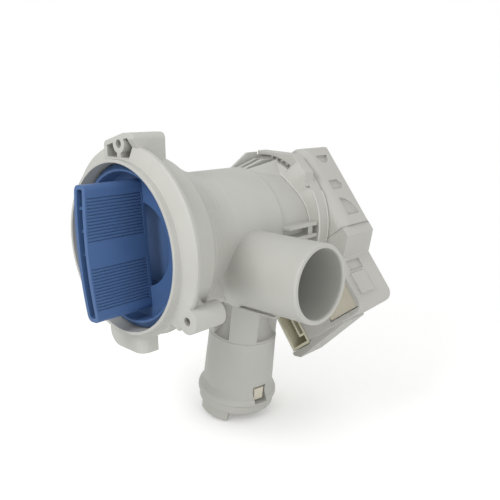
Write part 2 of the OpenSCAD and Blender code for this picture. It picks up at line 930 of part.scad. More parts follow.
module coil_bobbin() {
    cheek = 1.5;
    color(coil_beige)
    motor_frame()
    difference() {
        union() {
            round_the_yoke(spool, -bobbin_half, bobbin_half);
            round_the_yoke(flange_h, -bobbin_half, -bobbin_half + cheek);
            round_the_yoke(flange_h, bobbin_half - cheek, bobbin_half);
            block(apron_x, apron_end, cover_y + 0.6, core_y - flange_h, apron_low, apron_high);
        }
        round_the_yoke(bobbin_gap, -bobbin_half - eps, bobbin_half + eps);
    }
}

module coil_winding() {
    cheek = 1.5 + seat_gap;
    color([0.62, 0.36, 0.20])
    motor_frame()
    difference() {
        round_the_yoke(spool + winding_t, -bobbin_half + cheek, bobbin_half - cheek);
        round_the_yoke(spool + seat_gap, -bobbin_half, bobbin_half);
    }
}

module thermal_fuse() {
    z0 = leg_low + spool + winding_t + seat_gap;
    mid = (core_y + core_end) / 2;
    color([0.15, 0.15, 0.16])
    motor_frame()
        block(-fuse_l / 2, fuse_l / 2, mid - fuse_w / 2, mid + fuse_w / 2, z0, z0 + fuse_h);
}

// Connector socket: open to the front, with a second keyed wall inside it.
module connector_socket() {
    y1 = socket_back - socket_floor;
    color(coil_beige)
    motor_frame()
    difference() {
        block(socket_x0, socket_x1, socket_y, socket_back, socket_low, socket_high);
        difference() {
            block(socket_x0 + socket_wall, socket_x1 - socket_wall, socket_y - eps, y1,
                  socket_low + socket_wall, socket_high - socket_wall);
            difference() {
                block(key_x, socket_x1, socket_y + 1.2, y1 + eps, key_low, key_high + eps);
                block(key_x + key_wall, socket_x1, socket_y, y1 + 2 * eps, key_low + key_wall, key_high);
            }
        }
        terminal_pair(seat_gap);
    }
}

// The two blades of the terminals, grown on all sides by a gap.
module terminal_pair(gap) {
    step = 6;
    mid = (key_low + key_high) / 2;
    for (side = [-0.5, 0.5])
        block(tab_x - tab_t / 2 - gap, tab_x + tab_t / 2 + gap,
              socket_y + 3 - gap, socket_back + 1.5 + gap,
              mid + side * (tab_w + step / 5) - tab_w / 2 - gap,
              mid + side * (tab_w + step / 5) + tab_w / 2 + gap);
}

module terminal_tabs() {
    color([0.80, 0.68, 0.36])
    motor_frame()
        terminal_pair(0);
}

module core_screws() {
    color("silver")
    motor_frame()
        for (side = [-1, 1])
            core_screw_place(side) {
                cylinder(r = core_screw_r, h = core_end - core_y + run_gap + 8, $fn = seg);
                translate([0, 0, core_end - core_y + run_gap + 8])
                    cylinder(r = core_screw_r + 1.7, h = 2.2, $fn = seg);
            }
}

// Upper motor cover: shell over the poles, with dimples in its side walls.
module motor_cover() {
    corner = 5;
    color(motor_grey)
    motor_frame()
    difference() {
        intersection() {
            slab(concat(
                arc(cover_half - corner, cover_top - corner, corner, 0, 90),
                arc(-cover_half + corner, cover_top - corner, corner, 90, 180),
                [[-cover_half, cover_low], [cover_half, cover_low]]), cover_front, cover_back + eps);
            translate([0, 0, cover_low - eps])
                linear_extrude(cover_top - cover_low + 2 * eps)
                    polygon(cover_plan());
        }
        translate([0, 0, cover_low - eps])
            linear_extrude(cover_top - cover_wall - cover_low + eps)
                polygon(cover_room());
        disc(can_hole_r, cover_front, cover_front + cover_wall + eps);
        for (side = [-1, 1])
            core_screw_place(side)
                cylinder(r = post_r + run_gap, h = 20, $fn = seg);
        disc(hub_r, cover_back - cover_wall - eps, cover_back + eps);
        for (side = [0, 1])
            mirror([side, 0, 0])
                cover_vents();
    }
}

// Plan of the upper cover, with wide round front corners and smaller rear ones.
function cover_plan() =
    let (r = 2.5, soft = cover_round)
    concat(
        arc(-cover_half + soft, cover_face + soft, soft, 180, 270, 6),
        arc(cover_half - soft, cover_face + soft, soft, -90, 0, 6),
        arc(cover_half - r, cover_back - r, r, 0, 90, 4),
        arc(-cover_half + r, cover_back - r, r, 90, 180, 4));

// Plan of the room inside the upper cover, with round front corners that keep the wall.
function cover_room() =
    let (x = cover_half - cover_wall, y = cover_front + cover_wall, r = cover_round - 2.3)
    concat(
        arc(-x + r, y + r, r, 180, 270, 4),
        arc(x - r, y + r, r, -90, 0, 4),
        [[x, cover_back - cover_wall], [-x, cover_back - cover_wall]]);

// Three shallow dimples of different outline along a side wall.
module cover_vents() {
    depth = 1.4;
    mid = cover_y + cover_depth * 0.56;
    r = 4.4;
    at_side = [
        [14.2, -0.7, arc(3, 0, r, 180, 360)],
        [-2.8, 1.5, [[-r, -2.6], [r * 0.6, -2.6], [r * 1.1, 0], [r * 0.6, 2.6], [-r, 2.6]]],
        [-16.4, 2.1, concat([[-r, -r * 0.8]], arc(-r, -r * 0.8, r * 2.2, 0, 90))]];
    for (v = at_side)
        translate([cover_half - depth, mid + v[1], v[0]])
            rotate([90, 0, 90])
                linear_extrude(depth + eps)
                    polygon(v[2]);
}

// Lower motor cover: shell over the coil, with a pad, a shallow slot and an open front corner.
function coil_outline(inset) =
    let (h = cover_half - 1 - inset, w = coil_half - inset, low = -motor_drop + inset)
    let (r = coil_cover_r - inset, left = -coil_left + inset)
    concat(
        [[h, cover_low - run_gap], [h, -30], [w, -38]],
        arc(w - r, low + r, r, 0, -90),
        [[left, low], [left, -38], [-h, -30], [-h, cover_low - run_gap]]);

// Outline of the part of the lower cover that reaches forwards over the coil.
function coil_bulge(inset) =
    let (w = coil_half - inset, low = -motor_drop + inset, r = coil_cover_r - inset)
    concat(
        [[w, -36 - inset]],
        arc(w - r, low + r, r, 0, -90),
        [[bulge_left + inset, low], [bulge_left + inset, -36 - inset]]);

module coil_cover() {
    pad = 1;
    ledge_y = socket_y - 1;
    color(motor_grey)
    motor_frame()
    difference() {
        union() {
            slab(coil_outline(0), cover_front, cover_back);
            slab(coil_bulge(0), cover_y, cover_back);
            block(coil_half - 1, coil_half + pad, cover_y + 4, cover_y + 15, -motor_drop + 7, -46);
            slab([
                [socket_x0, socket_low - run_gap], [socket_x0, socket_low - 2],
                [socket_x0 + 4, socket_low - 4.4], [6, -motor_drop - 1], [6, -motor_drop + 1],
                [-coil_left + 3, -motor_drop + 1], [socket_x1, socket_low - run_gap]],
                ledge_y, cover_back - 4);
        }
        slab(coil_outline(cover_wall), cover_front + cover_wall, cover_back - cover_wall);
        slab(coil_bulge(cover_wall), cover_y + cover_wall, cover_back - cover_wall);
        block(-cover_half + 1 + cover_wall, cover_half - 1 - cover_wall,
              cover_front + cover_wall, cover_back - cover_wall, cover_low - cover_dip, cover_low + eps);
        disc(flange_r + seat_gap * 2, cover_y - eps, cover_front);
        disc(can_hole_r, cover_y, cover_front + cover_wall + eps);
        block(coil_half - coil_window_t, coil_half + eps, coil_window_y, coil_window_y + coil_window_l,
              coil_window_low, coil_window_low + coil_window_h);
        block(apron_x - run_gap, apron_end + run_gap, cover_y - eps, cover_y + cover_wall + eps,
              apron_low - run_gap, apron_high + run_gap);
    }
}

// Ball cage: clipped into the end of the spigot by its lugs, it stops the check ball falling out.
module ball_cage() {
    bar = 2.6;
    lug_w = window_w - 2;
    lug_h = window_h - 2.2;
    color(coil_beige)
    spigot_frame() {
        difference() {
            spigot_tube(cage_r, cage_top, cage_end);
            spigot_tube(cage_r - cage_t, cage_top - eps, cage_end + eps);
        }
        intersection() {
            union() {
                translate([-cage_r, -bar / 2, cage_top])
                    cube([2 * cage_r, bar, bar]);
                translate([-bar / 2, -cage_r, cage_top])
                    cube([bar, 2 * cage_r, bar]);
            }
            spigot_tube(cage_r - 0.5, cage_top, cage_top + bar);
        }
        for (side = [0, 180])
            rotate([0, 0, window_angle + side])
                translate([cage_r - 1, -lug_w / 2 - 0.5, window_s + 0.8])
                    cube([spigot_r - cage_r + 1.2, lug_w, lug_h]);
    }
}

module check_ball() {
    color([0.30, 0.31, 0.33])
    spigot_frame()
        translate([0, 0, ball_s])
            sphere(r = ball_r, $fn = seg);
}

housing();
filter_cap();
filter_strainer();
filter_seal();
motor_flange();
chamber_seal();
impeller();
drive_dog();
shaft_clip();
rotor_shaft();
rotor_magnet();
thrust_washer();
front_bush();
rear_bush();
rotor_can();
core_poles();
core_yoke();
coil_bobbin();
coil_winding();
thermal_fuse();
connector_socket();
terminal_tabs();
core_screws();
motor_cover();
coil_cover();
ball_cage();
check_ball();
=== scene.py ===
import math

import bmesh
import bpy
from mathutils import Matrix, Vector


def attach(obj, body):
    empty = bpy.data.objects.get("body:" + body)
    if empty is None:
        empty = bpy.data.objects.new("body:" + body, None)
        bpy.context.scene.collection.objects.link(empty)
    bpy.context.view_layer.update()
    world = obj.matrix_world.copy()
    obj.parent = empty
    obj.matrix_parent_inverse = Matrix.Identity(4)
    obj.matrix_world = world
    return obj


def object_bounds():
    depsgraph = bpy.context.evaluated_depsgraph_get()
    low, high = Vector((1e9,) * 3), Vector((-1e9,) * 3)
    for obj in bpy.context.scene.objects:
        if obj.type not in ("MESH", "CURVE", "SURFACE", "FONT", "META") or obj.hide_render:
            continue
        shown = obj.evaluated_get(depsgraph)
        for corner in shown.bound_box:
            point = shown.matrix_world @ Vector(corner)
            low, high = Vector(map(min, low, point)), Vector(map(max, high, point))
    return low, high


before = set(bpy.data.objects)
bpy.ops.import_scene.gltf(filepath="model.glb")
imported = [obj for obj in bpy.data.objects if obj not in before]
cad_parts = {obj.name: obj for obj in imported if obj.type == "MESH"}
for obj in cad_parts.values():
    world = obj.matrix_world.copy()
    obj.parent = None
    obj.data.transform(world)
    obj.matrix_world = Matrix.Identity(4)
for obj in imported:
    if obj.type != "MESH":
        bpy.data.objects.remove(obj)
cad_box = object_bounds()


# Pump housing: collar, filter barrel, pump chamber, side stub and outlet spigot in one shot.
# Satin warm light grey polypropylene, straight from a spark-eroded mould, with soft edges and a painted
# highlight along them.
def new_finish(name):
    """Blank finish: the material, its tree, its shader and the object coordinates for its textures."""
    mat = bpy.data.materials.new(name)
    mat.use_nodes = True
    tree = mat.node_tree
    where = tree.nodes.new("ShaderNodeTexCoord").outputs["Object"]
    return mat, tree, tree.nodes["Principled BSDF"], where


def noise(tree, where, scale, detail):
    """Factor of a noise texture."""
    texture = tree.nodes.new("ShaderNodeTexNoise")
    texture.inputs["Scale"].default_value = scale
    texture.inputs["Detail"].default_value = detail
    tree.links.new(where, texture.inputs["Vector"])
    return texture.outputs["Fac"]


def two_tone(tree, factor, low_stop, high_stop):
    """Colour that runs between two stops, each a value of the factor and its tone."""
    ramp = tree.nodes.new("ShaderNodeValToRGB")
    for element, (value, tone) in zip(ramp.color_ramp.elements, (low_stop, high_stop)):
        element.position = value
        element.color = (*tone, 1)
    tree.links.new(factor, ramp.inputs["Fac"])
    return ramp.outputs["Color"]


def vary_roughness(tree, shader, factor, low, high):
    """Makes the roughness follow a factor between two values."""
    spread = tree.nodes.new("ShaderNodeMapRange")
    spread.inputs["To Min"].default_value = low
    spread.inputs["To Max"].default_value = high
    tree.links.new(factor, spread.inputs["Value"])
    tree.links.new(spread.outputs["Result"], shader.inputs["Roughness"])


def relief(tree, shader, height, strength, depth, normal=None):
    """Fine bumps on the shader's normal, or on another normal that is given."""
    bump = tree.nodes.new("ShaderNodeBump")
    bump.inputs["Strength"].default_value = strength
    bump.inputs["Distance"].default_value = depth
    tree.links.new(height, bump.inputs["Height"])
    if normal is not None:
        tree.links.new(normal, bump.inputs["Normal"])
    tree.links.new(bump.outputs["Normal"], shader.inputs["Normal"])


def moulded(name, base, cloud, edge, rough, grain, depth, soft=0.00045, gloss=0.5):
    """Moulded plastic: faint colour clouds, a fine mould grain, softened edges and a painted highlight that
    turns every edge paler.
    """
    mat, tree, shader, where = new_finish(name)
    shader.inputs["IOR"].default_value = 1.49
    shader.inputs["Specular IOR Level"].default_value = gloss
    clouds = noise(tree, where, scale=45.0, detail=4.0)
    tint = two_tone(tree, clouds, (0.38, cloud), (0.66, base))
    rounded = tree.nodes.new("ShaderNodeBevel")
    rounded.samples = 6
    rounded.inputs["Radius"].default_value = soft
    flat = tree.nodes.new("ShaderNodeNewGeometry")
    turn = tree.nodes.new("ShaderNodeVectorMath")
    turn.operation = "DOT_PRODUCT"
    tree.links.new(rounded.outputs["Normal"], turn.inputs[0])
    tree.links.new(flat.outputs["Normal"], turn.inputs[1])
    # Painted highlight: where the rounded normal leaves the flat one, along convex and concave edges alike,
    # the colour turns towards the paler edge tone.
    rim = tree.nodes.new("ShaderNodeMapRange")
    rim.inputs["From Min"].default_value = 0.995
    rim.inputs["From Max"].default_value = 0.86
    rim.inputs["To Max"].default_value = 0.75
    tree.links.new(turn.outputs["Value"], rim.inputs["Value"])
    paint = tree.nodes.new("ShaderNodeMix")
    paint.data_type = "RGBA"
    mix_share, mix_first, mix_second = paint.inputs[0], paint.inputs[6], paint.inputs[7]
    mix_second.default_value = (*edge, 1)
    tree.links.new(rim.outputs["Result"], mix_share)
    tree.links.new(tint, mix_first)
    tree.links.new(paint.outputs[2], shader.inputs["Base Color"])
    sheen = noise(tree, where, scale=160.0, detail=3.0)
    vary_roughness(tree, shader, sheen, low=rough - 0.06, high=rough + 0.08)
    pores = noise(tree, where, scale=1.0 / grain, detail=2.0)
    relief(tree, shader, pores, strength=0.35, depth=depth, normal=rounded.outputs["Normal"])
    return mat


def coat(node, material):
    """Gives a CAD node its finish."""
    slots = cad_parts[node].data.materials
    slots.clear()
    slots.append(material)


housing_grey = moulded(
    "housing_polypropylene",
    base=(0.455, 0.455, 0.425), cloud=(0.435, 0.434, 0.404), edge=(0.60, 0.60, 0.57),
    rough=0.46, grain=0.0007, depth=0.00003)
coat("housing", housing_grey)


# Mould lines on the housing: a lip along the mounting ridge's edge and two faint steps on the shoulder.
# Same polypropylene, a few tenths of a millimetre high, left where two parts of the mould meet.
def about_axis(r, angle, y):
    """Point at a radius, an angle and a station on the pump axis, from millimetres and degrees."""
    a = math.radians(angle)
    return Vector((r * math.cos(a) / 1000, y / 1000, r * math.sin(a) / 1000))


def skin(mesh, rows):
    """Skins a run of rings that have equally many points, and closes both ends."""
    for here, there in zip(rows, rows[1:]):
        for k in range(len(here)):
            n = (k + 1) % len(here)
            mesh.faces.new((here[k], there[k], there[n], here[n]))
    mesh.faces.new(rows[0])
    mesh.faces.new(rows[-1][::-1])


def linked(name, mesh, smooth):
    """Turns a working mesh into a piece of the scene, with its faces outwards."""
    bmesh.ops.recalc_face_normals(mesh, faces=mesh.faces)
    data = bpy.data.meshes.new(name)
    mesh.to_mesh(data)
    mesh.free()
    if smooth:
        for face in data.polygons:
            face.use_smooth = True
    piece = bpy.data.objects.new(name, data)
    bpy.context.scene.collection.objects.link(piece)
    return piece


def lip_about_axis(name, strands, sides=8):
    """Round beads about the pump axis; a strand is a list of (angle, radius, station, bead radius)."""
    mesh = bmesh.new()
    for strand in strands:
        rows = []
        for angle, r, y, thick in strand:
            rows.append([])
            for k in range(sides):
                turn = 2 * math.pi * k / sides
                point = about_axis(r + thick * math.cos(turn), angle, y + thick * math.sin(turn))
                rows[-1].append(mesh.verts.new(point))
        skin(mesh, rows)
    return linked(name, mesh, smooth=True)


def even_strand(a0, a1, r, y, thick, fade, step=1.5, thinnest=0.12):
    """Strand of one radius and station that thins out over its last few degrees."""
    count = int(abs(a1 - a0) / step) + 1
    strand = []
    for k in range(count + 1):
        angle = a0 + (a1 - a0) * k / count
        near = min(angle - a0, a1 - angle) / fade
        strand.append((angle, r, y, thick * max(thinnest, min(1.0, near))))
    return strand


ridge_r, ridge_y, ridge_bead = 41.75, 6.1, 0.42
ridge_lip = lip_about_axis("ridge_lip", [
    even_strand(-21, 62, ridge_r, ridge_y, ridge_bead, fade=2.0),
    even_strand(118, 238, ridge_r, ridge_y, ridge_bead, fade=2.0)])
ridge_lip.data.materials.append(housing_grey)
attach(ridge_lip, "pump")
shoulder_step = lip_about_axis("shoulder_step", [
    even_strand(-24, 56, r=34.35, y=22.8, thick=0.24, fade=22.0),
    even_strand(-10, 56, r=32.50, y=25.9, thick=0.22, fade=22.0)])
shoulder_step.data.materials.append(housing_grey)
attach(shoulder_step, "pump")


# Gusset and ledge at the stub: thick plastic between shoulder, stub and side boss, and a thin edge below.
# Part of the housing's moulding, with flat faces where the mould's slide leaves it.
def flat_sided(name, corners):
    """Closed solid with flat faces round a few corners, in millimetres."""
    mesh = bmesh.new()
    for x, y, z in corners:
        mesh.verts.new((x / 1000, y / 1000, z / 1000))
    hull = bmesh.ops.convex_hull(mesh, input=mesh.verts)
    left_over = hull["geom_interior"] + hull["geom_unused"]
    spare = {part for part in left_over if isinstance(part, bmesh.types.BMVert)}
    bmesh.ops.delete(mesh, geom=list(spare), context="VERTS")
    return linked(name, mesh, smooth=False)


gusset_low_edge = [(31.0, 18.4, -20.2), (32.1, 18.6, -17.6)]
gusset_by_stub = [(24.2, 34.4, -17.4), (24.4, 35.7, -21.5), (22.9, 38.1, -25.7)]
gusset_in_housing = [
    (20.7, 30.0, -25.4), (21.2, 37.0, -26.2), (23.5, 17.0, -28.0), (22.0, 24.0, -13.0), (20.0, 36.0, -20.0)]
gusset_top = [(27.3, 28.4, -14.7), (24.2, 34.2, -15.0)]
stub_gusset = flat_sided("stub_gusset", gusset_low_edge + gusset_by_stub + gusset_in_housing + gusset_top)
stub_gusset.data.materials.append(housing_grey)
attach(stub_gusset, "pump")
ledge_ends = (15.0, 45.1)
ledge_section = ((44.9, -30.5), (44.9, -31.1), (46.3, -30.2), (46.3, -31.3))
stub_ledge = flat_sided("stub_ledge", [(x, y, z) for x in ledge_ends for y, z in ledge_section])
stub_ledge.data.materials.append(housing_grey)
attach(stub_ledge, "pump")


# Spigot neck: each recess between the ribs runs out in a soft scoop, above the step down to the tube.
# Same polypropylene as the housing, rounded by the end of the mould's core pins.
spigot_x, spigot_y, spigot_lean = 5, 75, 8.2
spigot_turn = Matrix.Translation((0, spigot_y / 1000, 0)) @ Matrix.Rotation(math.radians(spigot_lean), 4, "Y")


def on_spigot(r, angle, s):
    """Point at a radius, an angle and a distance down the leaning spigot, in millimetres."""
    a = math.radians(angle)
    return spigot_turn @ Vector(((spigot_x + r * math.cos(a)) / 1000, r * math.sin(a) / 1000, -s / 1000))


def swept_on_spigot(name, sweeps, step=3, crease=35):
    """Closed bars round the spigot: first angle, last angle and an outline of (radius, distance)."""
    mesh = bmesh.new()
    for a0, a1, outline in sweeps:
        count = int((a1 - a0) / step) + 1
        rows = []
        for k in range(count + 1):
            angle = a0 + (a1 - a0) * k / count
            rows.append([mesh.verts.new(on_spigot(r, angle, s)) for r, s in outline])
        skin(mesh, rows)
    piece = linked(name, mesh, smooth=True)
    piece.data.set_sharp_from_angle(angle=math.radians(crease))
    return piece


neck_r, recess_floor_r, recess_depth = 17.02, 12.1, 4.82
scoop_top, scoop_run, scoop_end = 44.0, 11.5, 55.7
scoop_steps = 8
scoop = [(recess_floor_r, scoop_top)]
for k in range(1, scoop_steps + 1):
    a = math.radians(90 * k / scoop_steps)
    scoop.append((neck_r - recess_depth * math.cos(a), scoop_top + scoop_run * math.sin(a)))
scoop += [(neck_r, scoop_end), (recess_floor_r, scoop_end)]
recess_spans = ((-22, 34), (-106, -70))
neck_scoops = swept_on_spigot("neck_scoops", [(a0, a1, scoop) for a0, a1 in recess_spans])
neck_scoops.data.materials.append(housing_grey)
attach(neck_scoops, "pump")
step_r, step_at, bead_out, bead_along = 17.1, 57.1, 0.36, 0.7
step_bead = []
for k in range(8):
    a = math.radians(45 * k)
    step_bead.append((step_r + bead_out * math.cos(a), step_at + bead_along * math.sin(a)))
step_from, step_to = -135, 60
neck_step = swept_on_spigot("neck_step", [(step_from, step_to, step_bead)])
neck_step.data.materials.append(housing_grey)
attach(neck_step, "pump")


# Check valve in the spigot: a rubber ball under its seat and the clipped cage that holds it.
# Dark nitrile ball with a matt skin, and a beige polyamide cage whose lugs show in the windows.
def rubber(name, base, worn, rough):
    """Matt rubber with a fine pitted skin and dusty patches."""
    mat, tree, shader, where = new_finish(name)
    shader.inputs["Specular IOR Level"].default_value = 0.35
    dust = noise(tree, where, scale=240.0, detail=5.0)
    tree.links.new(two_tone(tree, dust, (0.45, base), (0.75, worn)), shader.inputs["Base Color"])
    vary_roughness(tree, shader, dust, low=rough - 0.08, high=rough + 0.08)
    pits = tree.nodes.new("ShaderNodeTexVoronoi")
    pits.inputs["Scale"].default_value = 1800.0
    tree.links.new(where, pits.inputs["Vector"])
    relief(tree, shader, pits.outputs["Distance"], strength=0.3, depth=0.00005)
    return mat


ball_nitrile = rubber(
    "valve_ball_nitrile", base=(0.030, 0.031, 0.034), worn=(0.060, 0.060, 0.062), rough=0.62)
coat("check_ball", ball_nitrile)
cage_beige = moulded(
    "beige_polyamide",
    base=(0.58, 0.55, 0.45), cloud=(0.55, 0.515, 0.415), edge=(0.70, 0.68, 0.60),
    rough=0.42, grain=0.0006, depth=0.00002, soft=0.0003)
coat("ball_cage", cage_beige)


# Filter: blue cup with a hollow upright grip, and the slotted strainer clipped behind it.
# Solid-coloured blue polypropylene, a little smoother than the housing, with a black ring seal.
filter_blue = moulded(
    "filter_polypropylene",
    base=(0.062, 0.127, 0.282), cloud=(0.057, 0.117, 0.263), edge=(0.110, 0.195, 0.365),
    rough=0.40, grain=0.0008, depth=0.00002, soft=0.00010)
# The cap's edge tone, paler than the strainer's, is a painted highlight that lightens the ribs of its grip.
cap_blue = moulded(
    "cap_polypropylene",
    base=(0.065, 0.130, 0.284), cloud=(0.060, 0.120, 0.266), edge=(0.150, 0.245, 0.430),
    rough=0.40, grain=0.0008, depth=0.00002, soft=0.00028, gloss=0.2)
coat("filter_cap", cap_blue)
coat("filter_strainer", filter_blue)
seal_black = rubber(
    "seal_rubber_black", base=(0.014, 0.014, 0.015), worn=(0.030, 0.030, 0.031), rough=0.55)
coat("filter_seal", seal_black)


# Impeller and its drive: a six-bladed wheel, loose on the shaft, and the dog that picks it up.
# Natural acetal for both, and a spring steel clip that keeps the wheel on the shaft.
def bare_metal(name, base, streak, rough, along):
    """Bare metal with a fine drawn grain; along gives its density on each axis."""
    mat, tree, shader, where = new_finish(name)
    shader.inputs["Metallic"].default_value = 1.0
    stretch = tree.nodes.new("ShaderNodeMapping")
    stretch.inputs["Scale"].default_value = along
    tree.links.new(where, stretch.inputs["Vector"])
    grain = noise(tree, stretch.outputs["Vector"], scale=1.0, detail=4.0)
    tree.links.new(two_tone(tree, grain, (0.35, streak), (0.65, base)), shader.inputs["Base Color"])
    vary_roughness(tree, shader, grain, low=rough - 0.07, high=rough + 0.10)
    relief(tree, shader, grain, strength=0.25, depth=0.00003)
    return mat


wheel_acetal = moulded(
    "impeller_acetal",
    base=(0.66, 0.645, 0.585), cloud=(0.63, 0.61, 0.545), edge=(0.76, 0.75, 0.70),
    rough=0.36, grain=0.0006, depth=0.00002, soft=0.0003)
coat("impeller", wheel_acetal)
coat("drive_dog", wheel_acetal)
clip_steel = bare_metal(
    "clip_spring_steel", base=(0.46, 0.46, 0.47), streak=(0.34, 0.34, 0.36), rough=0.30,
    along=(900, 900, 900))
coat("shaft_clip", clip_steel)


# Rotor: ferrite magnet ring on a ground steel shaft, with its thrust washer and two bushes.
# The ferrite is dull and speckled, the washer a brown phenolic, the bushes graphite-filled.
def speckled(name, base, speck, rough):
    """Sintered or filled material: a dull ground with small bright specks."""
    mat, tree, shader, where = new_finish(name)
    cells = tree.nodes.new("ShaderNodeTexVoronoi")
    cells.inputs["Scale"].default_value = 1400.0
    tree.links.new(where, cells.inputs["Vector"])
    reach = cells.outputs["Distance"]
    tree.links.new(two_tone(tree, reach, (0.08, speck), (0.30, base)), shader.inputs["Base Color"])
    vary_roughness(tree, shader, reach, low=rough - 0.12, high=rough + 0.10)
    relief(tree, shader, reach, strength=0.3, depth=0.00004)
    return mat


ferrite = speckled("ferrite", base=(0.040, 0.040, 0.044), speck=(0.085, 0.085, 0.092), rough=0.60)
coat("rotor_magnet", ferrite)
shaft_steel = bare_metal(
    "ground_steel", base=(0.62, 0.62, 0.63), streak=(0.50, 0.50, 0.52), rough=0.22,
    along=(3000, 250, 3000))
coat("rotor_shaft", shaft_steel)
phenolic = speckled("phenolic", base=(0.155, 0.085, 0.040), speck=(0.24, 0.14, 0.07), rough=0.55)
coat("thrust_washer", phenolic)
bush_graphite = speckled("graphite_bush", base=(0.052, 0.052, 0.056), speck=(0.13, 0.13, 0.14), rough=0.45)
coat("front_bush", bush_graphite)
coat("rear_bush", bush_graphite)


# Bayonet flange: plate and hood that close the pump chamber and lock the motor to the housing.
# Off-white glass-filled plastic like the motor's covers; its ring seal and the rotor's can go inside.
motor_white = moulded(
    "motor_plastic",
    base=(0.455, 0.452, 0.421), cloud=(0.435, 0.430, 0.400), edge=(0.58, 0.58, 0.55),
    rough=0.50, grain=0.0009, depth=0.00004, soft=0.0009)
# The flange's lips get a paler copy of the motor plastic: a painted highlight that makes the band edges read
# as bright lines.
lip_highlight_white = moulded(
    "flange_lip_highlight_plastic",
    base=(0.56, 0.56, 0.53), cloud=(0.53, 0.53, 0.50), edge=(0.62, 0.62, 0.59),
    rough=0.46, grain=0.0009, depth=0.00002)


def skirt_front(angle):
    """Station of the flange's front edge on the barrel, which runs forward under the hood."""
    marks = [(-10, 91.1), (10, 90.4), (23, 89.2), (36, 87.2), (48, 85.5), (75, 85.4)]
    for (a0, y0), (a1, y1) in zip(marks, marks[1:]):
        if angle <= a1:
            return y0 + (y1 - y0) * (angle - a0) / (a1 - a0)
    return marks[-1][1]


def skirt(name, a0, a1):
    """Sloping web between the barrel and the hood's front edge, or the flange's rim below the hood."""
    sunk_r, foot_r, foot_lead, back_y = 26.6, 27.7, 0.1, 91.4
    rim_r, rim_y = 32.8, 90.95
    hood_side, hood_corner, corner_angle, hood_lead = 25.6, 35.9, 45.7, 2.0
    slot_r, slot_lead = 30.6, 1.4
    hood_from, slot_from, blend = 33, 56, 3
    mesh = bmesh.new()
    rows = []
    for angle in range(a0, a1 + 1):
        under = min(1.0, max(0.0, (angle - hood_from) / blend))
        slot = min(1.0, max(0.0, (angle - slot_from) / blend))
        outline = min(hood_side / math.cos(math.radians(angle)),
                      hood_corner / math.cos(math.radians(angle - corner_angle)))
        far_r = rim_r + under * (outline - rim_r) - slot * (outline - slot_r)
        far_y = rim_y - hood_lead * under - slot_lead * slot
        y = skirt_front(angle)
        ring = [(sunk_r, y), (foot_r, y - foot_lead), (far_r, far_y), (far_r, back_y), (sunk_r, back_y)]
        rows.append([mesh.verts.new(about_axis(r, angle, station)) for r, station in ring])
    skin(mesh, rows)
    return linked(name, mesh, smooth=False)


flange_skirt = skirt("flange_skirt", a0=4, a1=72)
flange_skirt.data.materials.append(motor_white)
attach(flange_skirt, "pump")
edge_r, edge_bead, rim_lip_r = 27.45, 0.42, 33.0
front_edge = [(angle, edge_r, skirt_front(angle), edge_bead) for angle in range(-4, 73, 2)]
flange_lips = lip_about_axis("flange_lips", [
    front_edge,
    even_strand(-30, 33, rim_lip_r, y=91.1, thick=0.40, fade=4.0),
    even_strand(-20, 31, rim_lip_r, y=97.9, thick=0.42, fade=4.0)])
flange_lips.data.materials.append(lip_highlight_white)
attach(flange_lips, "pump")
coat("motor_flange", motor_white)
coat("rotor_can", wheel_acetal)
coat("chamber_seal", seal_black)


# Lamination stack: poles round the rotor and the yoke that closes them through the coil.
# Punched silicon steel sheets half a millimetre thick; their edges show as fine lines.
def stacked_sheets(name):
    """Steel with the lines of sheets stacked along the pump axis, and a trace of rust."""
    mat, tree, shader, where = new_finish(name)
    shader.inputs["Metallic"].default_value = 0.85
    sheets = tree.nodes.new("ShaderNodeTexWave")
    sheets.wave_type = "BANDS"
    sheets.bands_direction = "Y"
    sheets.inputs["Scale"].default_value = 314.0
    sheets.inputs["Distortion"].default_value = 0.4
    sheets.inputs["Detail"].default_value = 1.0
    tree.links.new(where, sheets.inputs["Vector"])
    rust = noise(tree, where, scale=180.0, detail=6.0)
    steel, brown = (0.25, 0.255, 0.27), (0.20, 0.13, 0.08)
    tree.links.new(two_tone(tree, rust, (0.52, steel), (0.78, brown)), shader.inputs["Base Color"])
    vary_roughness(tree, shader, rust, low=0.36, high=0.62)
    relief(tree, shader, sheets.outputs["Fac"], strength=0.5, depth=0.0001)
    return mat


sheet_steel = stacked_sheets("lamination_steel")
coat("core_poles", sheet_steel)
coat("core_yoke", sheet_steel)


